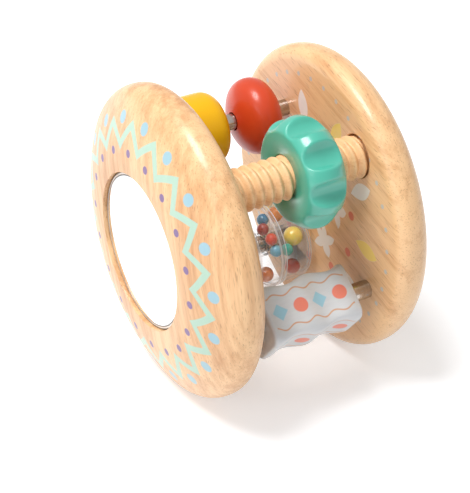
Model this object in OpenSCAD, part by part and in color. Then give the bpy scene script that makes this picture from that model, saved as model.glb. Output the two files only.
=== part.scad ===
// Rolling rattle: two turned wooden discs held apart by four spindles.
// Each spindle carries its own toy: two beads, a threaded nut, a clear drum and a square block.
// X runs along the roller, the mirror disc is at -X, Z is up and the discs stand on Z = 0.

/* [Discs] */
// Radius of both wooden discs
disc_r = 60; // [57:0.5:66]
// Thickness of each disc
disc_t = 20.6; // [19.8:0.2:24]
// Clear space between the inner faces of the discs
gap = 54.5; // [53:0.5:60]
// Radius of the flat middle of each outer face
flat_r = 30.4; // [28:0.1:32]
// How far the dome of the outer face falls back at the rim
dome_depth = 14.3; // [13:0.1:14.8]
// Radius of the dome's last turn into the rim
rim_round = 8; // [6:0.1:9]
// Radius of the inner edge of each disc
inner_round = 5.2; // [2:0.1:5.4]

/* [Mirror] */
// Radius of the round mirror
mirror_r = 30; // [24:0.1:31]
// Thickness of the mirror plate
mirror_t = 2; // [1:0.1:3]
// Depth of the mirror's surface below the outer face
mirror_depth = 1.5; // [1:0.1:4.5]
// Thickness of the adhesive pad behind the mirror
pad_t = 0.5; // [0.3:0.1:1]
// Space between the mirror's edge and the recess wall
mirror_clearance = 0.2; // [0.1:0.05:0.4]
// Width of the bevel round the mirror's front
bevel_w = 1.4; // [0.5:0.1:2.5]
// Depth of the bevel at the mirror's edge
bevel_drop = 0.3; // [0.2:0.1:0.9]

/* [Spindles] */
// Radius of the bead rod and the drum rod
rod_r = 3.2; // [2.5:0.1:3.6]
// Radius of the block's pin
pin_r = 3.5; // [2.5:0.1:4]
// Depth to which a spindle sits in each disc
seat_depth = 8; // [6:0.5:9]
// Interference of a rod in its seat
press = 0.01; // [0:0.005:0.03]
// Space past the end of a rod in its seat
seat_relief = 0.5; // [0.2:0.1:1]
// Radial space between a rod and a piece that turns or slides on it
rod_clearance = 0.4; // [0.3:0.05:0.6]

/* [Beads] */
// Distance of the bead rod's axis from the disc's rim
bead_inset = 23; // [20:0.5:26]
// Direction of the bead rod, from +Y towards +Z
bead_angle = 53.9; // [48:0.1:60]
// Radius of the yellow bead
yellow_r = 14.1; // [11:0.1:16]
// Length of the yellow bead
yellow_len = 18.6; // [14:0.1:20]
// Shoulder radius of the yellow bead
yellow_round = 5.8; // [2:0.1:6.5]
// Place of the yellow bead's middle along the rod
yellow_x = -11.7; // [-13:0.1:-11]
// Radius of the red bead
red_r = 14.9; // [13.5:0.1:17]
// Length of the red bead
red_len = 18.8; // [16:0.1:20]
// Profile radius of the red bead at its waist
red_round = 7; // [6:0.1:7.4]
// Place of the red bead's middle along the rod
red_x = 13.1; // [12:0.1:14]

/* [Screw and nut] */
// Distance of the screw's axis from the disc's rim
screw_inset = 17; // [16:0.5:20]
// Direction of the screw, from +Y towards +Z
screw_angle = 129.9; // [125:0.1:135]
// Radius over the thread's crests
thread_r = 8.2; // [7.8:0.1:9]
// Depth of the thread
thread_depth = 1.5; // [1:0.1:2]
// Advance of the thread in one turn
pitch = 3.85; // [3.5:0.05:5]
// Radius of the screw's plain ends
spigot_r = 8.2; // [7.2:0.1:8.3]
// Radial running space of a plain end in its disc
spigot_clearance = 0.08; // [0.03:0.01:0.1]
// Space between the thread's end and a disc
shoulder_gap = 0.6; // [0.4:0.1:5]
// Depth in the disc at which a plain end begins
spigot_sink = 2.5; // [1:0.1:4]
// Widening of the disc's hole at its mouth
mouth_flare = 0.2; // [0.2:0.1:1.6]
// Radial space between the screw's thread and the nut's thread
thread_clearance = 0.7; // [0.6:0.05:0.9]
// Depth of the bevel at each end of the nut's threaded hole
nut_mouth = 0.9; // [0.5:0.1:1.5]
// Largest radius of the nut
nut_r = 20.7; // [19.5:0.1:22]
// Radius of the nut's flat faces
nut_face_r = 16.5; // [15:0.1:17.5]
// Length of the nut
nut_len = 15.6; // [13:0.1:18]
// Number of finger flutes round the nut
flutes = 9; // [6:1:12]
// Least radius left under a flute
flute_floor_r = 17.9; // [17.7:0.1:19.2]
// Radius of the round flute
flute_r = 9; // [6:0.1:10]
// Direction of the first flute
flute_angle = 95; // [80:1:120]
// Place of the nut's middle along the screw
nut_x = 4.8; // [0:0.1:8]

/* [Clear drum] */
// Distance of the drum rod's axis from the disc's rim
drum_inset = 34; // [30:0.5:36]
// Direction of the drum rod, from +Y towards +Z
drum_angle = 298.5; // [292:0.1:305]
// Outer radius of the drum
drum_r = 16.6; // [16.4:0.1:18]
// Length of the drum's left cup, from its end to the seam
left_cup_len = 10.7; // [9:0.1:13]
// Length of the drum's right cup, from the seam to its end
right_cup_len = 13.4; // [13:0.1:16]
// Wall of the clear cups
drum_wall = 1.2; // [0.9:0.1:1.3]
// Edge radius at the ends of the drum
drum_round = 2; // [1:0.1:3]
// How far the seam ring stands out
ring_out = 0.8; // [0.4:0.1:1.5]
// Width of each half of the seam ring
ring_w = 1.1; // [0.6:0.1:1.6]
// Wall of the sleeve round the drum rod
sleeve_wall = 1.3; // [0.9:0.1:1.4]
// Thickness of the flat fins inside the drum
fin_t = 1.2; // [0.8:0.1:1.6]
// Direction of the fins, from +Y towards +Z
fin_angle = 188; // [184:1:194]
// Space between the drum and the plain disc
drum_gap = 1.6; // [0.6:0.05:3]

/* [Block] */
// Distance of the pin's axis from the disc's rim
block_inset = 17; // [16:0.5:19]
// Direction of the block's pin, from +Y towards +Z
block_angle = 205.3; // [200:0.1:210]
// Side of the square block
block_side = 20.6; // [17:0.1:22]
// Length of the block
block_len = 37; // [32:0.5:44]
// Height of the waves on the block's faces
wave_h = 1; // [0.2:0.1:1.4]
// Length of one wave
wave_len = 17.2; // [14:0.1:24]
// Distance from the pin to the softened long edges
block_edge_r = 13.9; // [13:0.1:14.5]
// Bevel at the ends of the block
block_bevel = 1.1; // [0.4:0.1:2]
// Turn of the block on its pin
block_turn = 38; // [20:1:60]
// Place of the block's middle along the pin
block_x = -1.9; // [-4:0.1:4]

/* [Hidden] */
$fn = 96;
eps = 0.3;
axis_z = disc_r;
inner_x = gap / 2;
outer_x = inner_x + disc_t;
bead_reach = disc_r - bead_inset;
screw_reach = disc_r - screw_inset;
drum_reach = disc_r - drum_inset;
block_reach = disc_r - block_inset;
rod_len = gap + 2 * seat_depth;
hole_depth = seat_depth + seat_relief;
bead_bore_r = rod_r + rod_clearance;
block_bore_r = pin_r + rod_clearance;
spigot_hole_r = spigot_r + spigot_clearance;
thread_len = gap - 2 * shoulder_gap;
neck_r = 0.92 * (thread_r - thread_depth);
thread_steps = 12;
recess_depth = mirror_depth + mirror_t + pad_t;
sleeve_r = rod_r + rod_clearance + sleeve_wall;
cavity_r = drum_r - drum_wall;
drum_x = inner_x - drum_gap - right_cup_len;

function unit(v) = v / norm(v);

// Moves a piece drawn round Z onto a spindle that lies along X
module on_spindle(reach, angle, x) {
    translate([x, reach * cos(angle), axis_z + reach * sin(angle)])
        rotate([0, 90, 0])
            children();
}

// Round segment that swells out over the straight line p to q, about the centre c
module swell(p, q, c, r) {
    out = unit((p + q) / 2 - c);
    intersection() {
        translate(c)
            circle(r);
        polygon([p - eps * out, q - eps * out, q + r * out, p + r * out]);
    }
}

// Half section of a disc: radius, then distance from the inner face
module disc_section() {
    run = disc_r - flat_r;
    dome_r = (run * run - 2 * run * rim_round + dome_depth * dome_depth) / (2 * (dome_depth - rim_round));
    dome_c = [flat_r, disc_t - dome_r];
    rim_c = [disc_r - rim_round, disc_t - dome_depth];
    meet = dome_c + dome_r * unit(rim_c - dome_c);
    edge_c = [disc_r - inner_round, inner_round];
    polygon([[0, 0], [disc_r - inner_round, 0], [disc_r, inner_round], [disc_r, rim_c[1]], meet,
             [flat_r, disc_t], [0, disc_t]]);
    swell([disc_r - inner_round, 0], [disc_r, inner_round], edge_c, inner_round);
    swell([disc_r, rim_c[1]], meet, rim_c, rim_round);
    swell(meet, [flat_r, disc_t], dome_c, dome_r);
}

// Blind seats for the four spindles, drawn on the inner side of the plain disc
module seats() {
    on_spindle(bead_reach, bead_angle, inner_x - 1)
        cylinder(r = rod_r - press, h = hole_depth + 1);
    on_spindle(drum_reach, drum_angle, inner_x - 1)
        cylinder(r = rod_r - press, h = hole_depth + 1);
    on_spindle(block_reach, block_angle, inner_x - 1)
        cylinder(r = pin_r - press, h = hole_depth + 1);
    on_spindle(screw_reach, screw_angle, inner_x - 1)
        cylinder(r = spigot_hole_r, h = hole_depth + 1);
    on_spindle(screw_reach, screw_angle, inner_x)
        cylinder(r1 = spigot_hole_r + mouth_flare, r2 = spigot_hole_r, h = mouth_flare);
}

// Wooden disc at +X with its four seats
module disc_body() {
    difference() {
        translate([inner_x, 0, axis_z])
            rotate([0, 90, 0])
                rotate_extrude()
                    disc_section();
        seats();
    }
}

module mirror_disc() {
    color([0.95, 0.79, 0.60])
        difference() {
            mirror([1, 0, 0])
                disc_body();
            translate([-outer_x - 1, 0, axis_z])
                rotate([0, 90, 0])
                    cylinder(r = mirror_r + mirror_clearance, h = recess_depth + 1);
        }
}

module mirror_plate() {
    color([0.90, 0.92, 0.94])
        translate([-outer_x + mirror_depth, 0, axis_z])
            rotate([0, 90, 0])
                union() {
                    cylinder(r1 = mirror_r - bevel_w, r2 = mirror_r, h = bevel_drop);
                    translate([0, 0, bevel_drop])
                        cylinder(r = mirror_r, h = mirror_t - bevel_drop);
                }
}

module mirror_pad() {
    color([0.80, 0.80, 0.78])
        translate([-outer_x + mirror_depth + mirror_t, 0, axis_z])
            rotate([0, 90, 0])
                cylinder(r = mirror_r - 2, h = pad_t);
}

module plain_disc() {
    color([0.95, 0.79, 0.60])
        disc_body();
}

// Plain round rod that reaches into both discs
module rod(reach, angle, r) {
    on_spindle(reach, angle, -rod_len / 2)
        cylinder(r = r, h = rod_len);
}

module bead_rod() {
    color([0.75, 0.75, 0.76])
        rod(bead_reach, bead_angle, rod_r);
}

module yellow_bead() {
    half = yellow_len / 2;
    color([0.98, 0.80, 0.08])
        on_spindle(bead_reach, bead_angle, yellow_x)
            rotate_extrude()
                difference() {
                    union() {
                        translate([0, -half])
                            square([yellow_r - yellow_round, yellow_len]);
                        translate([0, -half + yellow_round])
                            square([yellow_r, yellow_len - 2 * yellow_round]);
                        for (side = [-1, 1])
                            translate([yellow_r - yellow_round, side * (half - yellow_round)])
                                circle(yellow_round);
                    }
                    translate([-bead_bore_r, -yellow_len])
                        square(2 * [bead_bore_r, yellow_len]);
                }
}

// Half section of the red bead: a round waist between two flatter ends
module red_section() {
    half = red_len / 2;
    end_r = (red_r * red_r - 2 * red_r * red_round + half * half) / (2 * (half - red_round));
    waist_c = [red_r - red_round, 0];
    for (side = [0, 1])
        mirror([0, side]) {
            end_c = [0, half - end_r];
            meet = end_c + end_r * unit(waist_c - end_c);
            polygon([[0, 0], [red_r, 0], meet, [0, half]]);
            swell([red_r, 0], meet, waist_c, red_round);
            swell(meet, [0, half], end_c, end_r);
        }
}

module red_bead() {
    color([0.90, 0.32, 0.16])
        on_spindle(bead_reach, bead_angle, red_x)
            rotate_extrude()
                difference() {
                    red_section();
                    translate([-bead_bore_r, -red_len])
                        square(2 * [bead_bore_r, red_len]);
                }
}

// Rounded thread from z0 to z1 along the spindle, widened by extra
module thread(z0, z1, extra) {
    turn = (z1 - z0) / pitch;
    points = [for (i = [0 : thread_steps - 1])
        let (a = 360 * i / thread_steps,
             rise = pow(abs(cos(a / 2)), 0.6),
             r = thread_r - thread_depth + thread_depth * rise + extra)
        [r * cos(a), r * sin(a)]];
    translate([0, 0, z0])
        rotate([0, 0, 360 * z0 / pitch])
            linear_extrude(height = z1 - z0, twist = -360 * turn, slices = ceil(turn * thread_steps),
                           $fn = thread_steps)
                polygon(points);
}

module screw() {
    color([0.93, 0.76, 0.56])
        on_spindle(screw_reach, screw_angle, 0)
            union() {
                thread(-thread_len / 2, thread_len / 2, 0);
                for (side = [0, 1])
                    mirror([0, 0, side]) {
                        translate([0, 0, thread_len / 2 - 2])
                            cylinder(r = neck_r, h = shoulder_gap + spigot_sink + 3);
                        translate([0, 0, inner_x + spigot_sink])
                            cylinder(r = spigot_r, h = seat_depth - spigot_sink);
                    }
            }
}

module nut() {
    half = nut_len / 2;
    rise = nut_r - nut_face_r;
    crown_r = (half * half + rise * rise) / (2 * rise);
    crown_c = [nut_r - crown_r, 0];
    reach = flute_floor_r + flute_r;
    mouth_r = thread_r + thread_clearance + 0.1;
    color([0.40, 0.80, 0.70])
        on_spindle(screw_reach, screw_angle, nut_x)
            difference() {
                rotate_extrude()
                    union() {
                        translate([0, -half])
                            square([nut_face_r, nut_len]);
                        swell([nut_face_r, -half], [nut_face_r, half], crown_c, crown_r);
                    }
                for (i = [0 : flutes - 1])
                    rotate([0, 0, 90 + flute_angle + 360 * i / flutes])
                        translate([reach, 0, -half - 1])
                            cylinder(r = flute_r, h = nut_len + 2);
                translate([0, 0, -nut_x])
                    thread(nut_x - half - 1, nut_x + half + 1, thread_clearance);
                for (side = [0, 1])
                    mirror([0, 0, side])
                        translate([0, 0, half - nut_mouth])
                            cylinder(r1 = mouth_r - nut_mouth, r2 = mouth_r + eps, h = nut_mouth + eps);
            }
}

module drum_rod() {
    color([0.75, 0.75, 0.76])
        rod(drum_reach, drum_angle, rod_r);
}

// One clear cup, open at the seam (z = 0) and closed at its end
module cup(cup_len) {
    difference() {
        rotate_extrude()
            difference() {
                union() {
                    square([drum_r - drum_round, cup_len]);
                    square([drum_r, cup_len - drum_round]);
                    translate([drum_r - drum_round, cup_len - drum_round])
                        circle(drum_round);
                    square([drum_r + ring_out, ring_w]);
                }
                translate([sleeve_r, -1])
                    square([cavity_r - sleeve_r, cup_len - drum_wall + 1]);
                translate([-bead_bore_r, -cup_len])
                    square([2 * bead_bore_r, 3 * cup_len]);
            }
    }
    for (side = [0, 1])
        rotate([0, 0, 180 * side])
            translate([sleeve_r - eps, -fin_t / 2, 0])
                cube([cavity_r - sleeve_r + 2 * eps, fin_t, cup_len - drum_wall + eps]);
}

module drum_left_cup() {
    color([0.90, 0.93, 0.95, 0.35])
        on_spindle(drum_reach, drum_angle, drum_x)
            rotate([0, 0, 90 + fin_angle])
                mirror([0, 0, 1])
                    cup(left_cup_len);
}

module drum_right_cup() {
    color([0.90, 0.93, 0.95, 0.35])
        on_spindle(drum_reach, drum_angle, drum_x)
            rotate([0, 0, 90 + fin_angle])
                cup(right_cup_len);
}

// One round pellet: distance from the seam, direction, distance from the drum's rod, radius
module pellet(x, angle, reach, r) {
    translate([drum_x + x,
               drum_reach * cos(drum_angle) + reach * cos(angle),
               axis_z + drum_reach * sin(drum_angle) + reach * sin(angle)])
        sphere(r);
}

module yellow_pellet() {
    color([0.92, 0.82, 0.30])
        pellet(right_cup_len - drum_wall - 3.9, 146, cavity_r - 4.35, 3.8);
}

module blue_pellet() {
    color([0.22, 0.50, 0.66])
        pellet(-1.2, 98, cavity_r - 2.7, 2.4);
}

module maroon_pellet() {
    color([0.55, 0.17, 0.12])
        pellet(-3.6, 118, cavity_r - 2.7, 2.4);
}

module red_pellet() {
    color([0.82, 0.24, 0.12])
        pellet(-1.9, 140, cavity_r - 2.7, 2.4);
}

module sky_pellet() {
    color([0.42, 0.72, 0.84])
        pellet(-1.1, 162, cavity_r - 2.7, 2.4);
}

module teal_pellet() {
    color([0.15, 0.66, 0.60])
        pellet(3.7, 166, cavity_r - 2.7, 2.4);
}

module orange_pellet() {
    color([0.92, 0.52, 0.14])
        pellet(5.4, 90, cavity_r - 3.4, 3.1);
}

module low_red_pellet() {
    color([0.66, 0.22, 0.16])
        pellet(right_cup_len - drum_wall - 3.2, 228, cavity_r - 3.4, 3.1);
}

module low_orange_pellet() {
    color([0.86, 0.48, 0.24])
        pellet(-2.9, 231, cavity_r - 3.4, 3.1);
}

module block_pin() {
    color([0.75, 0.75, 0.76])
        rod(block_reach, block_angle, pin_r);
}

// Long side view of the block: two wavy edges and bevelled ends
module wavy_side(phase) {
    half = block_len / 2;
    steps = 44;
    low = block_side / 2;
    xs = [for (i = [0 : steps]) -half + block_len * i / steps];
    drop = [for (x = xs) max(0, block_bevel - (half - abs(x)))];
    top = [for (i = [0 : steps]) [xs[i], low + wave_h * sin(360 * xs[i] / wave_len + phase) - drop[i]]];
    bottom = [for (i = [steps : -1 : 0])
        [xs[i], -low - wave_h * sin(360 * xs[i] / wave_len + phase + 70) + drop[i]]];
    polygon(concat(top, bottom));
}

module block() {
    width = block_side + 6;
    color([0.86, 0.86, 0.84])
        on_spindle(block_reach, block_angle, block_x)
            rotate([0, 0, block_turn])
                rotate([0, -90, 0])
                    difference() {
                        intersection() {
                            translate([0, 0, -width / 2])
                                linear_extrude(width)
                                    wavy_side(20);
                            rotate([90, 0, 0])
                                translate([0, 0, -width / 2])
                                    linear_extrude(width)
                                        wavy_side(150);
                            rotate([45, 0, 0])
                                cube([block_len + 2, 2 * block_edge_r, 2 * block_edge_r], center = true);
                        }
                        rotate([0, 90, 0])
                            cylinder(r = block_bore_r, h = block_len + 2, center = true);
                    }
}

mirror_disc();
mirror_plate();
mirror_pad();
plain_disc();
bead_rod();
yellow_bead();
red_bead();
screw();
nut();
drum_rod();
drum_left_cup();
drum_right_cup();
yellow_pellet();
blue_pellet();
maroon_pellet();
red_pellet();
sky_pellet();
teal_pellet();
orange_pellet();
low_red_pellet();
low_orange_pellet();
block_pin();
block();
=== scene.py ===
# %% [markdown]
# # A rolling rattle
# Two domed wooden discs stand like a pair of wheels. Four spindles join them, and each one carries
# its own toy: two beads, a nut on a wooden screw, a clear drum of pellets and a wavy block. The
# packed CAD model is the frame of this scene: it is in metres, and nothing in it is moved or
# reshaped. We could model every piece again, but most CAD shapes are already right. So we dress
# those, and remake only three pieces more finely.

import math

import bpy
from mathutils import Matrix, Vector


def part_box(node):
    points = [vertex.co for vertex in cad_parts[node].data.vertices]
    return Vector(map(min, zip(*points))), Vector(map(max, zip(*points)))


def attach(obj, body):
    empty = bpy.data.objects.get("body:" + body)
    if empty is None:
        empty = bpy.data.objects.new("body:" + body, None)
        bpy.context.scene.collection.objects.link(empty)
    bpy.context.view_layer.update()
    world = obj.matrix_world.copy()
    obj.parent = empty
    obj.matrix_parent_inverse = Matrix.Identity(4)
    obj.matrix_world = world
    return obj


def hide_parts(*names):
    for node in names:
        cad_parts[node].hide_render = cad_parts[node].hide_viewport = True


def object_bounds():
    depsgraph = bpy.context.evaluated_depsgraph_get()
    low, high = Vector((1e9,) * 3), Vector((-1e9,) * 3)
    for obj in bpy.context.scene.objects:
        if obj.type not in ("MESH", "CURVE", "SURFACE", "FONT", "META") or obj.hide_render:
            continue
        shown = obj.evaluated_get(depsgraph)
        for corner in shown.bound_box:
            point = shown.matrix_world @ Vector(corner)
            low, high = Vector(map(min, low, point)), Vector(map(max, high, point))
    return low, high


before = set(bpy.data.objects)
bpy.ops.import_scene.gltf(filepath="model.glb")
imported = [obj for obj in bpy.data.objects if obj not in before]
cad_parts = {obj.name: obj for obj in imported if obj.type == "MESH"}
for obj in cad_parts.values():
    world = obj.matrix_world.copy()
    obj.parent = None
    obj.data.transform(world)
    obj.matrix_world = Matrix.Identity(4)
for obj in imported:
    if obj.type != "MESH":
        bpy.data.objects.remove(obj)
cad_low, cad_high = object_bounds()
MM = 0.001
print("CAD box in mm:", [round(v / MM, 1) for v in cad_high - cad_low])

# %% [markdown]
# ## Where things are
# Each toy sits on a round spindle that runs along X. We could type the spindles' places in again,
# but a later change of the CAD model would leave the scene behind. So we ask the frame: a node's
# place is in its vertices, and the middle of its box is the line that it lies on. From here on,
# sizes are in millimetres, as on a toy maker's drawing.


# %% Spindle lines
def spindle(node):
    """Y and Z of the line that a round piece lies on, and its two ends along X, in mm."""
    low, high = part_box(node)
    middle = (low + high) / 2 / MM
    return middle.y, middle.z, low.x / MM, high.x / MM


wheel_y, wheel_z, wheel_left, _ = spindle("mirror_disc")
print("axle height", round(wheel_z, 2), "mirror wheel's face at", round(wheel_left, 2))

# %% [markdown]
# ## Writing shaders as sums
# A finish is arithmetic on places and noises. It can be drawn as boxes and wires, but a sum of five
# scaled terms is then nine boxes. One small class lets us write it in Python instead: it wraps a
# socket, and each operator adds the Math node that it stands for. Reflected forms make `1 - mask`
# work too.


# %% Socket arithmetic
class Value:
    """A shader socket that takes part in Python arithmetic."""

    def __init__(self, graph, socket):
        self.graph, self.socket = graph, socket

    def math(self, operation, *others, clamp=False):
        options = {"operation": operation, "use_clamp": clamp}
        return self.graph.node("ShaderNodeMath", options, self, *others)

    def __add__(self, other):
        return self.math("ADD", other)

    def __mul__(self, other):
        return self.math("MULTIPLY", other)

    def __sub__(self, other):
        return self.math("SUBTRACT", other)

    def __truediv__(self, other):
        return self.math("DIVIDE", other)

    def __pow__(self, other):
        return self.math("POWER", other)

    def __rsub__(self, other):
        return self * -1 + other

    def __rtruediv__(self, other):
        return self**-1 * other

    def __abs__(self):
        return self.math("ABSOLUTE")

    __radd__, __rmul__ = __add__, __mul__

    def fract(self):
        return self.math("FRACT")

    def sin(self):
        return self.math("SINE")

    def arctan(self, across):
        """The angle of a point that lies this far up and some way across."""
        return self.math("ARCTAN2", across)

    def least(self, other):
        return self.math("MINIMUM", other)

    def most(self, other):
        return self.math("MAXIMUM", other)

    def above(self, limit, soft):
        """0 below the limit and 1 above it, with a soft edge."""
        return ((self - limit) / (2 * soft)).math("ADD", 0.5, clamp=True)

    def below(self, limit, soft):
        """1 below the limit and 0 above it, with a soft edge."""
        return ((self - limit) / (-2 * soft)).math("ADD", 0.5, clamp=True)


print("operators ready:", [n for n in vars(Value) if n.startswith("__r")])

# %% [markdown]
# ## One maker for every other node
# Noises, mixes and bumps are nodes with options of their own. Each could be added by hand, but that
# takes several lines, and their order matters: an option can change which sockets a node has. So
# one method makes any node. It sets the options first and then fills the sockets, with plain
# numbers or with links.


# %% Node maker
class Graph:
    """A node tree that is being filled."""

    def __init__(self, tree):
        self.tree = tree

    def fill(self, socket, value):
        if isinstance(value, Value):
            self.tree.links.new(value.socket, socket)
        elif value is not None:
            socket.default_value = value

    def node(self, kind, options, *values, out=0, **named):
        """A new node: its options, then its sockets in order (None leaves one alone) or by name.

        Gives the output that out says, or a list of outputs where out is a tuple.
        """
        made = self.tree.nodes.new(kind)
        for key, option in options.items():
            setattr(made, key, option)
        for socket, value in zip(made.inputs, values):
            self.fill(socket, value)
        for key, value in named.items():
            self.fill(made.inputs[key.replace("_", " ")], value)
        if isinstance(out, tuple):
            return [Value(self, made.outputs[name]) for name in out]
        return Value(self, made.outputs[out])


print("a graph can:", [n for n in vars(Graph) if not n.startswith("_")])

# %% [markdown]
# ## Starting a finish
# Every surface of the toy gets one material, and all of them start alike: a Principled shader, and
# the point on the piece. A UV map could give that point, but the CAD meshes have none, and grain
# runs through the whole of a solid anyway. So object coordinates, which move with the piece, feed
# every noise, and they are turned into millimetres at once.


# %% Finish maker
class Finish(Graph):
    """One material under construction."""

    def __init__(self, name, **constants):
        self.material = bpy.data.materials.new(name)
        self.material.use_nodes = True
        super().__init__(self.material.node_tree)
        self.surface = self.tree.nodes["Principled BSDF"]
        self.set(**constants)

    def set(self, **named):
        for key, value in named.items():
            self.fill(self.surface.inputs[key.replace("_", " ")], value)

    def mix(self, mask, first, second):
        """The first colour where the mask is 0, the second where it is 1."""
        colour, not_colours = {"data_type": "RGBA"}, [None] * 5
        return self.node("ShaderNodeMix", colour, mask, *not_colours, first, second, out=2)

    def place(self):
        """The point on the piece in mm."""
        metres = self.node("ShaderNodeTexCoord", {}, out="Object")
        return self.node("ShaderNodeVectorMath", {"operation": "SCALE"}, metres, Scale=1 / MM)

    def axes(self, point):
        """The x, y and z of a point, as three values."""
        return self.node("ShaderNodeSeparateXYZ", {}, point, out=("X", "Y", "Z"))

    def noise(self, point, per_mm, detail=2.0):
        """Soft noise from 0 to 1, with its own number of lumps per mm along each axis."""
        squeezed = self.node("ShaderNodeVectorMath", {"operation": "MULTIPLY"}, point, per_mm)
        return self.node("ShaderNodeTexNoise", {}, Vector=squeezed, Scale=1.0, Detail=detail)

    def bump(self, height, depth_mm, strength=1.0):
        depth = depth_mm * MM
        self.set(
            Normal=self.node("ShaderNodeBump", {}, Height=height, Distance=depth, Strength=strength)
        )


print("a finish adds:", [n for n in vars(Finish) if not n.startswith("_")])

# %% [markdown]
# ## Screen colours
# We name paints and inks by their screen colours, 0 to 255. A screen bends these numbers, while
# light adds up straight, so a shader wants them unbent. Blender's colour picker does that by
# itself. A script has to do it, with the curve that every screen shares.


# %% Screen colours
def srgb(red, green, blue):
    """A screen colour, 0 to 255, as the linear colour that a shader works with."""

    def linear(c):
        c /= 255
        return c / 12.92 if c <= 0.04045 else ((c + 0.055) / 1.055) ** 2.4

    return (linear(red), linear(green), linear(blue), 1.0)


print("paper white in linear light:", [round(c, 3) for c in srgb(250, 250, 250)[:3]])

# %% [markdown]
# ## Pale hardwood
# Toys like this are turned from rubberwood: cream, with short dark pore dashes that lie along the
# grain. A photograph of a board would repeat and wouldn't follow the turned shape, so four noises
# make the wood. Two slow ones drift and streak the colour, a fine one draws the fibres, and a sharp
# one, cut off high, leaves the pores. Each is long along the grain, and the board can be tilted
# before it is cut.

# %% Wood grain
CREAM, HONEY, PORE = srgb(243, 198, 147), srgb(204, 144, 92), srgb(140, 86, 50)
ALONG_X, ALONG_Y, ALONG_Z = range(3)


def lumps(axis, along, across):
    """Lumps per mm for a noise: one number along an axis and another across it."""
    return [along if i == axis else across for i in range(3)]


def wood(finish, point, grain, tilt=0.0, pore=0.42, pale=0.0):
    """Colour, fibres and pores of a board: grain along one axis, tilted round X by degrees."""
    about_x, angle = {"rotation_type": "X_AXIS"}, math.radians(tilt)
    board = finish.node("ShaderNodeVectorRotate", about_x, Vector=point, Angle=angle)
    drift = finish.noise(board, lumps(grain, 0.006, 0.05), 3.0)
    streak = finish.noise(board, lumps(grain, 0.014, 0.32), 3.0)
    fibre = finish.noise(board, lumps(grain, 0.05, 1.3), 3.0)
    pores = finish.noise(board, lumps(grain, 0.15, 2.6), 1.0).above(0.66, 0.05)
    dark = drift * 1.8 + streak * 1.8 + fibre * 0.7 - (1.8 + pale)
    colour = finish.mix(dark.most(0).least(1), CREAM, HONEY)
    return finish.mix(pores * pore, colour, PORE), fibre, pores


print("wood shades:", [round(c, 2) for c in CREAM[:3]], [round(c, 2) for c in HONEY[:3]])

# %% [markdown]
# ## Satin lacquer
# Bare wood would look dry. The wheels have a thin clear lacquer: the shader's coat, with the wood's
# own gloss below it. Fibres change the roughness a little, and the pores sink into the coat. A bump
# is enough for that, because these dents are a few hundredths of a millimetre deep.

# %% Lacquer
WHEEL_COAT = {"Coat_Weight": 0.35, "Coat_Roughness": 0.16}


def lacquer(finish, colour, fibre, pores):
    finish.set(Base_Color=colour, Roughness=fibre * 0.16 + 0.36)
    finish.bump(fibre * 0.25 - pores, depth_mm=0.05, strength=0.5)


print("wheel lacquer:", WHEEL_COAT)

# %% [markdown]
# ## Inks
# The discs and the block carry flat printed colour. Thin plates on the surface would be one way,
# but a print has no thickness to see. So a print is a mask: where it is 1 the ink covers the
# ground, almost but not quite, so that some grain still shows through.

# %% Inks
MINT, SKY, PLUM = srgb(172, 210, 192), srgb(150, 196, 212), srgb(112, 84, 146)
RUST, WHITE, SUN = srgb(205, 150, 110), srgb(248, 246, 240), srgb(250, 214, 84)
CORAL, ASH = srgb(232, 120, 92), srgb(196, 196, 192)
EDGE = 0.16  # half of a print's soft edge, in mm


def printed(finish, ground, area, inks, cover=0.92):
    """The ground with each ink over it, where the ink's mask and the printed area meet."""
    for mask, ink in inks:
        ground = finish.mix(mask * area * cover, ground, ink)
    return ground


print("soft edge of a print in mm:", 2 * EDGE)

# %% [markdown]
# ## Motifs
# A border round a wheel repeats one motif. We could place each by hand, but polar terms are
# shorter: the angle times a count, with only its fraction kept, gives the same small cell as often
# as we like. A motif is then a soft mask inside the cell. Ours are plain ones: dots, leaves and
# stars.


# %% Motifs
def length(a, b):
    return (a * a + b * b) ** 0.5


def polar(y, z):
    """Distance from the wheels' axle in mm, and angle in turns."""
    across, up = y - wheel_y, z - wheel_z
    return length(across, up), up.arctan(across) / math.tau


def ring_cell(radius, turns, count, ring, shift=0.0):
    """Place inside one of count cells round a ring: along it, and out from it, in mm."""
    along = ((turns * count + shift).fract() - 0.5) * (math.tau * ring / count)
    return along, radius - ring


def dot(along, out, size):
    return length(along, out).below(size, EDGE)


def leaf(along, out, half_width, half_length):
    taper = (1 - (out / half_length) * (out / half_length)) * half_width
    return (abs(along) - taper).below(0, EDGE)


def star(along, out, size, arms=5, notch=0.45):
    """A star as large as its size at the tips, and a share of that in the notches."""
    tip = abs((along.arctan(out) * (arms / math.tau)).fract() - 0.5) * 2
    return (length(along, out) - (tip * (1 - notch) + notch) * size).below(0, EDGE)


print("one of 18 cells on a 50 mm ring is", round(math.tau * 50 / 18, 1), "mm long")

# %% [markdown]
# ## The mirror wheel
# This wheel's domed face is turned to us. Its border is a zigzag ribbon with a dot in each bend.
# The zigzag needs no mesh: the fraction of an angle, folded at its middle, runs up and down by
# itself. The print stops at the mirror's recess and short of the rim, as a pad print would.

# %% Mirror wheel finish
print_depth = 13  # how far the print reaches round the dome, along X
teeth, ribbon_r, ribbon_swing, ribbon_half = 18, 40.5, 8, 1.9


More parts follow.
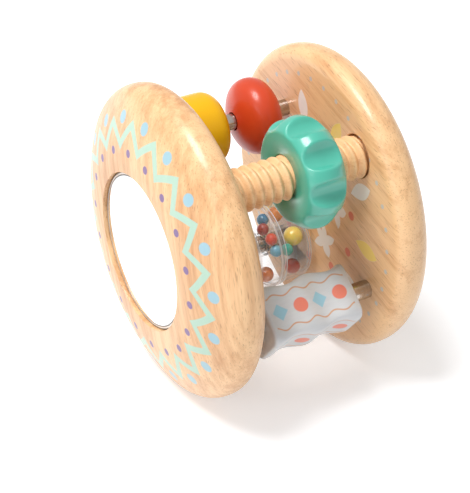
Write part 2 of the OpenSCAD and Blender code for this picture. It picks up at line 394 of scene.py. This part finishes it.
def mirror_wheel():
    finish = Finish("wood with a zigzag border", **WHEEL_COAT)
    point = finish.place()
    x, y, z = finish.axes(point)
    colour, fibre, pores = wood(finish, point, ALONG_Z, tilt=15)
    radius, turns = polar(y, z)
    bend = abs((turns * teeth).fract() - 0.5) * 2
    ribbon = abs(radius - (bend * ribbon_swing + ribbon_r)).below(ribbon_half, EDGE)
    outer = dot(*ring_cell(radius, turns, teeth, ring=50), size=2.3)
    inner = dot(*ring_cell(radius, turns, teeth, ring=38.4, shift=0.5), size=1.5)
    face = x.below(wheel_left + print_depth, 0.5)
    colour = printed(finish, colour, face, ((ribbon, MINT), (outer, SKY), (inner, PLUM)))
    lacquer(finish, colour, fibre, pores)
    return finish.material


mirror_wheel_wood = mirror_wheel()
print(mirror_wheel_wood.name, len(mirror_wheel_wood.node_tree.nodes), "nodes")

# %% [markdown]
# ## The plain wheel
# Between the spindles we see this wheel's flat inner face, with rings of stars, leaves and dots in
# lighter inks. Two rings could hold the white and the yellow leaves. One is enough: half the leaf
# count, with its fraction kept, is over one half in every second cell, and that mask swaps the ink.

# %% Plain wheel finish
inner_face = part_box("plain_disc")[0].x / MM
leaf_count, leaf_shift = 10, 0.397


def plain_wheel():
    finish = Finish("wood with stars and leaves", **WHEEL_COAT)
    point = finish.place()
    x, y, z = finish.axes(point)
    # pale lightens this wheel's wood: partly a paler board, partly painted light for its inner
    # face, which lies in shade between the wheels.
    colour, fibre, pores = wood(finish, point, ALONG_Y, tilt=-13, pale=0.35)
    radius, turns = polar(y, z)
    stars = star(*ring_cell(radius, turns, count=5, ring=16, shift=0.2), size=7.5)
    leaf_cell = ring_cell(radius, turns, leaf_count, ring=37, shift=leaf_shift)
    leaves = leaf(*leaf_cell, half_width=3.2, half_length=7)
    second = (turns * (leaf_count / 2) + leaf_shift / 2).fract().above(0.5, 0.01)
    buds = dot(*ring_cell(radius, turns, leaf_count, ring=27, shift=leaf_shift + 0.5), size=1.8)
    beads = dot(*ring_cell(radius, turns, count=36, ring=50), size=0.9)
    face = x.below(inner_face + 0.4, 0.2)
    white = ((stars, WHITE), (leaves, WHITE))
    tinted = ((leaves * second, SUN), (buds, CORAL), (beads, ASH))
    lacquer(finish, printed(finish, colour, face, white + tinted), fibre, pores)
    return finish.material


plain_wheel_wood = plain_wheel()
print(plain_wheel_wood.name, len(plain_wheel_wood.node_tree.nodes), "nodes")

# %% [markdown]
# ## The mirror
# A toy's mirror is a clear plate with bright metal behind it, and a bevelled edge that shows dark
# with one light line. Glass over metal would need two layers. One metal surface with hardly any
# roughness looks like that from every side. Near the rim the metal stops, as on a ground edge, and
# the edge's dark brown is also a painted reflection of the wooden recess wall; its light line is a
# painted highlight.

# %% Mirror finish
mirror_r = (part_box("mirror_plate")[1].z / MM) - wheel_z
bevel_from, glint_from, glint_to = mirror_r - 1.5, mirror_r - 1.0, mirror_r - 0.4


def silver():
    finish = Finish("mirror silver")
    point = finish.place()
    _, y, z = finish.axes(point)
    haze = finish.noise(point, [0.06] * 3, 3.0)
    radius = length(y - wheel_y, z - wheel_z)
    bevel = radius.above(bevel_from, 0.15)
    painted_glint_line = radius.above(glint_from, 0.1) * radius.below(glint_to, 0.1)
    metal = finish.mix(haze, srgb(236, 238, 240), srgb(244, 245, 246))
    # Painted reflection: the bevel's dark brown stands for the wooden recess wall seen in it, over
    # an unsilvered edge.
    metal_with_painted_edge = finish.mix(bevel, metal, srgb(104, 96, 90))
    # Painted highlight: a thin light line inside the bevel.
    colour = finish.mix(painted_glint_line, metal_with_painted_edge, srgb(246, 246, 245))
    rough = haze * 0.03 + bevel * 0.3 + 0.01
    finish.set(Base_Color=colour, Metallic=1 - bevel, Roughness=rough)
    return finish.material


mirror_silver = silver()
print("mirror radius:", round(mirror_r, 2))

# %% [markdown]
# ## Steel and foam
# The three metal spindles are ground rods. Grinding leaves fine rings round a rod, so the noise has
# many lumps along X and few across it, and it drives colour, roughness and a very shallow bump. The
# pad behind the mirror is foam, rough and full of cells. It is hidden, but a part that is taken
# apart should still be right.


# %% Steel and foam finishes
def steel():
    finish = Finish("ground steel", Metallic=1.0)
    rings = finish.noise(finish.place(), lumps(ALONG_X, 3.0, 0.15))
    colour = finish.mix(rings, srgb(172, 165, 158), srgb(204, 198, 191))
    finish.set(Base_Color=colour, Roughness=rings * 0.12 + 0.12)
    finish.bump(rings, depth_mm=0.004, strength=0.4)
    return finish.material


def foam():
    finish = Finish("pad foam", Roughness=0.9)
    cells = finish.noise(finish.place(), [2.5] * 3)
    finish.set(Base_Color=finish.mix(cells, srgb(196, 196, 190), srgb(226, 226, 222)))
    finish.bump(cells, depth_mm=0.1)
    return finish.material


rod_steel, pad_foam = steel(), foam()
print("made:", rod_steel.name, "and", pad_foam.name)

# %% [markdown]
# ## Toy paint
# Beads and nut are dipped in paint. A plain colour with a high gloss would look like plastic. Two
# things prevent that: a slight drift in the colour where the coat is thinner, and the wood's
# fibres, which still show as faint waves in the gloss. The nut has the thickest coat, and the
# yellow bead the thinnest.


# %% Paint finish
def paint(name, colour, thin, grain, gloss, satin=0.1):
    finish = Finish(name, Coat_Weight=gloss, Coat_Roughness=satin, Specular_IOR_Level=0.3)
    point = finish.place()
    drift = finish.noise(point, [0.07] * 3)
    fibre = finish.noise(point, lumps(grain, 0.05, 0.7))
    finish.set(Base_Color=finish.mix(drift, colour, thin), Roughness=fibre * 0.12 + 0.3)
    finish.bump(fibre, depth_mm=0.03, strength=0.35)
    return finish.material


yellow, thin_yellow = srgb(246, 190, 2), srgb(234, 170, 0)
red, thin_red = srgb(214, 74, 36), srgb(196, 60, 26)
teal, thin_teal = srgb(84, 192, 168), srgb(66, 170, 148)
yellow_paint = paint("yellow paint", yellow, thin_yellow, ALONG_X, gloss=0.2)
red_paint = paint("red paint", red, thin_red, ALONG_X, gloss=0.3, satin=0.15)
teal_paint = paint("teal paint", teal, thin_teal, ALONG_Y, gloss=1.0, satin=0.22)
print("paints:", yellow_paint.name, red_paint.name, teal_paint.name)

# %% [markdown]
# ## Clear cups
# The drum is two thin clear cups. Looking straight through we see almost nothing of them. At a
# glancing angle they turn bright: that white is a painted reflection. The seam ring and the end
# corners are whiter too, partly because the plastic is thick there and partly as painted highlight,
# and two thin lines on the seam are painted highlights. Real refraction through such thin walls
# costs many light bounces for little change, so the alpha follows the facing angle and the place
# instead.

# %% Clear plastic
drum_y, drum_z, drum_left, drum_seam = spindle("drum_left_cup")
*_, drum_right = spindle("drum_right_cup")
drum_x, drum_half = (drum_left + drum_right) / 2, (drum_right - drum_left) / 2
seam_half, seam_r, seam_highlight_off = 1.2, 16.4, 1.05
end_depth, corner_r = 1.4, 14.2


def clear_cups():
    finish = Finish("clear plastic", Base_Color=srgb(248, 250, 251), Roughness=0.06, IOR=1.49)
    facing = finish.node("ShaderNodeLayerWeight", {}, Blend=0.5, out="Facing")
    point = finish.place()
    x, y, z = finish.axes(point)
    radius = length(y - drum_y, z - drum_z)
    off_seam = abs(x - drum_seam)
    ring = off_seam.below(seam_half, 0.2) * radius.above(seam_r, 0.2)
    # Painted highlights: two thin opaque white lines on the seam ring.
    painted_seam_highlights = abs(off_seam - seam_highlight_off).below(0.25, 0.1) * ring
    corner = abs(x - drum_x).above(drum_half - end_depth, 0.3) * radius.above(corner_r, 0.6)
    haze = finish.noise(point, [0.25] * 3)
    # The facing term is painted reflection; ring and corner are whiter partly for thick plastic,
    # partly as painted highlight.
    alpha = facing**4 * 0.7 + ring * 0.12 + painted_seam_highlights * 0.5 + corner * 0.3 + haze * 0.08
    finish.set(Alpha=alpha.least(1))
    return finish.material


cups_clear = clear_cups()
print("drum length:", round(2 * drum_half, 2), "with its seam at", round(drum_seam, 2))

# %% [markdown]
# ## Pellets
# The pellets are small moulded balls in bright colours. Solid paint would make them flat dots at
# this size. A little light under the skin and a cloudy, darker depth make them look moulded, and a
# coat gives each its own highlight.


# %% Pellet finishes
def pellet(name, colour):
    under_skin = {"Subsurface_Weight": 0.15, "Subsurface_Scale": 0.002}
    finish = Finish(f"{name} pellet", Coat_Weight=0.4, **under_skin)
    cloud = finish.noise(finish.place(), [0.5] * 3, 3.0)
    deep = tuple(0.8 * c for c in colour[:3]) + (1.0,)
    finish.set(Base_Color=finish.mix(cloud, colour, deep), Roughness=cloud * 0.15 + 0.2)
    return finish.material


pellet_colour = {
    "yellow": srgb(250, 222, 92),
    "blue": srgb(70, 150, 196),
    "maroon": srgb(176, 62, 46),
    "red": srgb(236, 84, 48),
    "sky": srgb(130, 204, 232),
    "teal": srgb(56, 192, 176),
    "orange": srgb(250, 156, 56),
    "low_red": srgb(204, 78, 58),
    "low_orange": srgb(244, 146, 84),
}
pellets = {f"{name}_pellet": pellet(name, colour) for name, colour in pellet_colour.items()}
print("pellets:", len(pellets))

# %% [markdown]
# ## Dressing the frame
# Pieces whose CAD shape is already right only need their finish. We could copy each mesh and dress
# the copy, but the packed model has material slots of its own, so a finish goes straight in there
# and the mesh is left alone. The screw, the nut and the block come next: those we remake.

# %% Dress the nodes
dressed = {
    "mirror_disc": mirror_wheel_wood,
    "plain_disc": plain_wheel_wood,
    "mirror_plate": mirror_silver,
    "mirror_pad": pad_foam,
    "yellow_bead": yellow_paint,
    "red_bead": red_paint,
    **dict.fromkeys(("bead_rod", "drum_rod", "block_pin"), rod_steel),
    **dict.fromkeys(("drum_left_cup", "drum_right_cup"), cups_clear),
    **pellets,
}
for node, material in dressed.items():
    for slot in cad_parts[node].material_slots:
        slot.material = material
print("dressed:", len(dressed), "nodes")

# %% [markdown]
# ## Turned grids
# A screw, a fluted nut and a wavy block have one thing in common: seen along its spindle, each is a
# radius that depends on the angle and on the place along X. Booleans and modifiers could cut each
# shape, but they leave ragged faces where two curves meet. A grid of rings keeps even, smooth
# faces. First come the angles round a ring, the places along X, and a ring with one radius all
# round.


# %% Rings
def angles(columns):
    return [math.tau * i / columns for i in range(columns)]


def stations(start, end, rows):
    return [start + (end - start) * i / rows for i in range(rows + 1)]


def plain_ring(x, radius, columns):
    return [(x, radius)] * columns


print("columns in a circle of 8:", [round(math.degrees(a)) for a in angles(8)])

# %% [markdown]
# One helper then sews each ring to the next with four-sided faces. An open row of rings gets a cap
# at both ends, for the screw. A closed one joins its last ring to its first, like a tyre, for the
# pieces with a hole.


# %% Sewing
def add(name, data):
    """A new object in the scene."""
    made = bpy.data.objects.new(name, data)
    bpy.context.scene.collection.objects.link(made)
    return made


def sew(name, rings, axis_y, axis_z, closed):
    """A mesh from rings of (x, radius) points in mm round a spindle."""
    columns, rows = len(rings[0]), len(rings)
    points, faces = [], []
    for ring in rings:
        for angle, (x, radius) in zip(angles(columns), ring):
            y, z = axis_y + radius * math.cos(angle), axis_z + radius * math.sin(angle)
            points.append((x * MM, y * MM, z * MM))
    for row in range(rows if closed else rows - 1):
        here, there = row * columns, (row + 1) % rows * columns
        for i in range(columns):
            j = (i + 1) % columns
            faces.append((here + i, there + i, there + j, here + j))
    if not closed:
        faces.append(tuple(range(columns)))
        faces.append(tuple(reversed(range((rows - 1) * columns, rows * columns))))
    mesh = bpy.data.meshes.new(name)
    mesh.from_pydata(points, [], faces)
    mesh.validate()
    mesh.update()
    mesh.shade_smooth()
    return add(name, mesh)


print("sewing joins", len(angles(8)), "faces between two rings of 8")

# %% [markdown]
# ## The thread
# A wooden thread has round crests. A screw modifier could sweep a profile, but the nut needs the
# same thread inside out, so a formula serves both. At one place along X the screw's outline is an
# egg whose far side is the crest. Moving along X turns the egg, one full turn in each pitch. The
# power makes the crest rounder than the valley, as a thread cutter leaves it.

# %% Thread outline
pitch, crest_r, thread_depth = 3.85, 8.2, 1.7
crest_at = -math.pi / 2


def thread_r(angle, x):
    """The screw's radius. At X 0 the crest is at the angle crest_at, straight down."""
    turn = angle - math.tau * x / pitch - crest_at
    return crest_r - thread_depth + thread_depth * abs(math.cos(turn / 2)) ** 1.5


valley_r = thread_r(crest_at + math.pi, 0)
print("crest and valley:", round(thread_r(crest_at, 0), 2), round(valley_r, 2))

# %% [markdown]
# ## The screw
# The thread ends just inside the wheels' holes. A thinner neck leads on to a plain end, which turns
# in the hole, so a dark gap shows round it. Fewer rings would do for the shape, but twelve a pitch
# keep the crests round. The wood is the same hardwood, paler and less glossy, with its grain along
# the screw.

# %% Screw piece
screw_y, screw_z, _, screw_right = spindle("screw")
screw_columns, rings_a_pitch = 60, 12
spigot_r, neck_r, chamfer = 8.2, 6.2, 0.5
thread_end, spigot_start = inner_face + 0.3, inner_face + 2.5


def screw_rings():
    rows = round(2 * thread_end / pitch * rings_a_pitch)
    around, along = angles(screw_columns), stations(-thread_end, thread_end, rows)
    turned = [[(x, thread_r(a, x)) for a in around] for x in along]
    half = [
        (thread_end, neck_r),
        (spigot_start, neck_r),
        (spigot_start + 0.1, spigot_r - 0.3),
        (spigot_start + 0.4, spigot_r),
        (screw_right - chamfer, spigot_r),
        (screw_right, spigot_r - chamfer),
    ]
    left = [plain_ring(-x, r, screw_columns) for x, r in reversed(half)]
    right = [plain_ring(x, r, screw_columns) for x, r in half]
    return left + turned + right


def screw_wood():
    finish = Finish("screw wood", Coat_Weight=0.1, Coat_Roughness=0.3)
    lacquer(finish, *wood(finish, finish.place(), ALONG_X, pore=0.2, pale=0.4))
    return finish.material


wooden_screw = sew("wooden_screw", screw_rings(), screw_y, screw_z, closed=False)
wooden_screw.data.materials.append(screw_wood())
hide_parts("screw")
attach(wooden_screw, "screw")
print(wooden_screw.name, len(wooden_screw.data.vertices), "points")

# %% [markdown]
# ## The nut
# The nut is crowned like a barrel and has nine round finger flutes. Cutting nine cylinders from a
# barrel would leave sharp ridges. Here the outside is the smaller of two radii: the crown's, and
# the distance to the wall of the nearest flute. A smooth minimum rounds the ridge between them, as
# sanding does.

# %% Nut outline
nut_y, nut_z, nut_left, nut_right = spindle("nut")
nut_x, nut_half = (nut_right + nut_left) / 2, (nut_right - nut_left) / 2
crown_top, face_r = 20.7, 16.5
crown_rise = crown_top - face_r
crown_r = (nut_half**2 + crown_rise**2) / (2 * crown_rise)
flutes, flute_floor, flute_r, first_flute = 9, 16.9, 5.6, math.radians(95)
ridge_round = 0.6


def crown(x):
    return crown_top - crown_r + math.sqrt(max(crown_r**2 - (x - nut_x) ** 2, 0))


def flute_wall(angle):
    """Radius of the nearest flute's wall, or far outside where no flute is near."""
    step = math.tau / flutes
    off = (angle - first_flute + step / 2) % step - step / 2
    reach = flute_floor + flute_r
    inside = flute_r**2 - (reach * math.sin(off)) ** 2
    return reach * math.cos(off) - math.sqrt(inside) if inside > 0 else reach


def nut_outline(angle, x):
    """The smooth minimum: a little less than the smaller radius where the two are close."""
    barrel, wall = crown(x), flute_wall(angle)
    close = max(ridge_round - abs(barrel - wall), 0) / ridge_round
    return min(barrel, wall) - close * close * ridge_round / 4


print("crown at the ends:", round(crown(nut_left), 2))
print("flute floor:", round(flute_wall(first_flute), 2))

# %% [markdown]
# A closed loop of rings makes the solid: along the outside, in over the right face, back along the
# threaded hole and out over the left face. The hole is the screw's own outline with a little room.
# A bevel modifier would round all edges alike. Short extra rings beside each edge hold just the
# small round that paint gives it.

# %% Nut piece
nut_columns, skin_rows, hole_rows = flutes * 28, 26, 44
skin_inset, hole_inset, thread_room = 0.45, 0.4, 0.3
rim_round, mouth_flare = 0.5, 0.6


def nut_cap(end, inward):
    """Rings over one end face, from its rim to the hole; inward is the way into the nut."""
    rim = [(end + inward * 0.1, face_r + 0.02), (end, face_r - rim_round)]
    mouth = [(end, crest_r + mouth_flare), (end + inward * 0.2, crest_r + 0.35)]
    return [plain_ring(x, r, nut_columns) for x, r in rim + mouth]


def nut_rings():
    around = angles(nut_columns)
    outside = stations(nut_left + skin_inset, nut_right - skin_inset, skin_rows)
    inside = stations(nut_right - hole_inset, nut_left + hole_inset, hole_rows)
    skin = [[(x, nut_outline(a, x)) for a in around] for x in outside]
    hole = [[(x, thread_r(a, x) + thread_room) for a in around] for x in inside]
    return skin + nut_cap(nut_right, -1) + hole + nut_cap(nut_left, 1)[::-1]


fluted_nut = sew("fluted_nut", nut_rings(), nut_y, nut_z, closed=True)
fluted_nut.data.materials.append(teal_paint)
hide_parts("nut")
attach(fluted_nut, "nut")
print(fluted_nut.name, len(fluted_nut.data.vertices), "points")

# %% [markdown]
# ## The wavy block
# Each long face of the block is a gentle wave, and each starts at its own place along it. Seen
# along the pin the outline is a square with soft corners. A cube with a wave modifier would move
# all four faces alike. A high power mean of four face distances and four corner cuts gives each
# face its own wave, and rounds the corners between them, at every place along X.

# %% Block outline
pin_y, pin_z, _, _ = spindle("block_pin")
_, _, block_left, block_right = spindle("block")
block_x = (block_left + block_right) / 2
block_turn = math.radians(38)
block_half, corner_cut, mean_power = 10.3, 13.9, 22
wave_height, wave_length = 1.0, 17.2
wave_starts = [math.radians(degrees) for degrees in (20, 150, 90, 220)]


def face_distance(wave_start, x):
    return block_half + wave_height * math.sin(math.tau * (x - block_x) / wave_length + wave_start)


def block_outline(angle, x):
    total = 0.0
    for face, wave_start in enumerate(wave_starts):
        for turn, distance in ((0, face_distance(wave_start, x)), (math.pi / 4, corner_cut)):
            along = math.cos(angle - block_turn - face * math.pi / 2 - turn)
            total += (max(along, 0) / distance) ** mean_power
    return total ** (-1 / mean_power)


print("from the pin to a face:", round(block_outline(block_turn, block_x), 2))

# %% [markdown]
# Like the nut, the block is one closed loop of rings. At each end the outline shrinks along a
# quarter circle, which rounds the edge, and a plain hole runs back through the middle for the pin.

# %% Block piece
block_columns, block_rows, block_bore, bevel = 120, 90, 3.9, 1.1


def rounded_end(edge, end):
    """Rings from the last full outline, at edge, round to the flat face at end."""
    rings = []
    for quarter in (0.25, 0.5, 0.75, 1.0):
        bend = quarter * math.pi / 2
        x, shrink = edge + (end - edge) * math.sin(bend), bevel * (1 - math.cos(bend))
        rings.append([(x, block_outline(a, edge) - shrink) for a in angles(block_columns)])
    return rings


def block_rings():
    around = angles(block_columns)
    left_edge, right_edge = block_left + bevel, block_right - bevel
    along = stations(left_edge, right_edge, block_rows)
    skin = [[(x, block_outline(a, x)) for a in around] for x in along]
    hole = [plain_ring(x, block_bore, block_columns) for x in (block_right, block_left)]
    left, right = rounded_end(left_edge, block_left), rounded_end(right_edge, block_right)
    return skin + right + hole + left[::-1]


wavy_block = sew("wavy_block", block_rings(), pin_y, pin_z, closed=True)
print(wavy_block.name, len(wavy_block.data.vertices), "points")

# %% [markdown]
# The block is white with small printed shapes down the middle of each face, and a thin wavy line on
# both sides of them. Four masks, one a face, would be the long way. A face's middle line is where
# the smaller of the two distances across the block is zero, so one mask serves all four.

# %% Block paint
cell_length, disc_r, lozenge_r = 8.2, 2.7, 3.2
line_off, line_swing, line_half = 6.2, 0.7, 0.28
block_print_half = 16.2


def block_paint():
    finish = Finish("white paint with shapes", Coat_Weight=0.4, Coat_Roughness=0.12)
    point = finish.place()
    x, y, z = finish.axes(point)
    fibre = finish.noise(point, lumps(ALONG_X, 0.05, 0.8))
    across, up = y - pin_y, z - pin_z
    cos, sin = math.cos(block_turn), math.sin(block_turn)
    side = abs(across * cos + up * sin).least(abs(up * cos - across * sin))
    cell = (x - block_x) / cell_length
    along = (cell.fract() - 0.5) * cell_length
    odd = (cell / 2).fract().above(0.5, 0.01)
    disc = dot(along, side, disc_r)
    lozenge = (abs(along) + side).below(lozenge_r, EDGE)
    wave = (x * (math.tau / cell_length)).sin() * line_swing
    line = abs(side - wave - line_off).below(line_half, EDGE)
    area = abs(x - block_x).below(block_print_half, 0.1)
    inks = ((disc * odd, CORAL), (lozenge * (1 - odd), SKY), (line, RUST))
    white = finish.mix(fibre, srgb(212, 212, 212), srgb(199, 200, 202))
    colour = printed(finish, white, area, inks, cover=0.95)
    finish.set(Base_Color=colour, Roughness=fibre * 0.15 + 0.32)
    finish.bump(fibre, depth_mm=0.03, strength=0.4)
    return finish.material


wavy_block.data.materials.append(block_paint())
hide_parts("block")
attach(wavy_block, "block")
print(wavy_block.name, "is dressed in", wavy_block.active_material.name)

# %% [markdown]
# ## A white floor
# The photograph has a plain white ground with one soft shadow. Enough lamp light to make a floor
# white would bleach the toy. So the floor is pale and also glows a little, but only for rays that
# end in the camera, a reflection or clear plastic: it lights nothing. Near the toy the glow is
# weak, which keeps the shadow. Far away it is full, so that no horizon shows.

# %% Floor
floor_half = 3.0
near_glow, glow_middle, glow_soft = 0.4, 450, 280


def studio_floor():
    corners = [(-floor_half, -floor_half, 0), (floor_half, -floor_half, 0)]
    corners += [(floor_half, floor_half, 0), (-floor_half, floor_half, 0)]
    mesh = bpy.data.meshes.new("studio_floor")
    mesh.from_pydata(corners, [], [(0, 1, 2, 3)])
    floor = add("studio_floor", mesh)
    matt = {"Roughness": 0.9, "Specular_IOR_Level": 0.1, "Emission_Strength": 1.0}
    finish = Finish("studio floor", Base_Color=srgb(243, 245, 248), **matt)
    rays = ("Is Camera Ray", "Is Glossy Ray", "Is Transmission Ray")
    seen, glossy, through = finish.node("ShaderNodeLightPath", {}, out=rays)
    x, y, _ = finish.axes(finish.place())
    far = length(x, y).above(glow_middle, glow_soft)
    glow = seen.most(glossy).most(through) * (far * (1 - near_glow) + near_glow)
    finish.set(Emission_Color=finish.node("ShaderNodeCombineColor", {}, glow, glow, glow))
    mesh.materials.append(finish.material)
    return floor


floor = studio_floor()
print("floor at", floor.location.z)

# %% [markdown]
# ## A white room
# Round the floor the world is white to the camera and through clear plastic. In reflections it is a
# little darker, so that gloss doesn't turn the paint milky, and as a light it is dimmer still, so
# that the lamps shape the toy. One world with one strength couldn't do all three, but the kind of
# ray can choose.

# %% World
reflected, ambient = 0.7, 0.4


def studio_world():
    world = bpy.data.worlds.new("studio")
    bpy.context.scene.world = world
    world.use_nodes = True
    room = Graph(world.node_tree)
    rays = ("Is Camera Ray", "Is Transmission Ray", "Is Glossy Ray", "Is Diffuse Ray")
    seen, through, glossy, diffuse = room.node("ShaderNodeLightPath", {}, out=rays)
    strength = seen.most(through).most(glossy * reflected).most(diffuse * ambient)
    background = world.node_tree.nodes["Background"].inputs
    room.fill(background["Color"], (1, 1, 1, 1))
    room.fill(background["Strength"], strength)
    return world


print("world:", studio_world().name)

# %% [markdown]
# ## Soft lamps
# A sun lamp would cut hard shadows. The main lamp is a soft box high above the toy and a little to
# its left: tops are bright, the soft shadow lies under the toy and to its right, and the floor
# throws light back up under the wheels. A wider and weaker box at the left, lower down, reaches in
# between the wheels.


# %% Lamps
def look(made, place, direction):
    """Puts a lamp or a camera at a place and turns it to look along a direction."""
    made.location = place
    made.rotation_mode = "QUATERNION"
    made.rotation_quaternion = direction.to_track_quat("-Z", "Y")


def soft_box(name, place, aim, size, watts):
    lamp = bpy.data.lights.new(name, "AREA")
    lamp.shape, lamp.size, lamp.energy = "DISK", size, watts
    made = add(name, lamp)
    look(made, place, Vector(aim) - Vector(place))
    return made


middle = (cad_low + cad_high) / 2
left_box = soft_box("left box", (-1.1, -0.5, 0.6), middle, size=0.8, watts=3)
top_box = soft_box("top box", (-0.42, 0.05, 1.2), middle, size=0.6, watts=14)
print("lamps in watts:", left_box.data.energy, top_box.data.energy)

# %% [markdown]
# ## The camera
# A camera could be placed by eye, but then no outline would fit. The photograph was solved as one
# level camera: its distance, its two angles and the point that it looks at are below. The lens
# follows from the focal length in pixels over the picture's longer side, which Blender matches to
# the sensor's width.

# %% Camera
picture_height, focal_px = 493, 1495.2
turn, height = math.radians(-29.48), math.radians(33.49)
distance, aim = 0.5664, Vector((-8.19, -1.44, 50.42)) * MM
level = math.cos(height)
back = Vector((math.sin(turn) * level, -math.cos(turn) * level, math.sin(height)))
lens = bpy.data.cameras.new("camera")
lens.sensor_width = 36
lens.lens = lens.sensor_width * focal_px / picture_height
lens.clip_start, lens.clip_end = 0.01, 20
camera = add("camera", lens)
look(camera, aim + back * distance, -back)
bpy.context.scene.camera = camera
bpy.context.scene.view_settings.view_transform = "Standard"
print("lens", round(lens.lens, 2), "mm at", [round(c / MM) for c in camera.location])

# %% [markdown]
# ## Sizes
# The remade pieces stay inside the sizes of the CAD pieces that they replace.
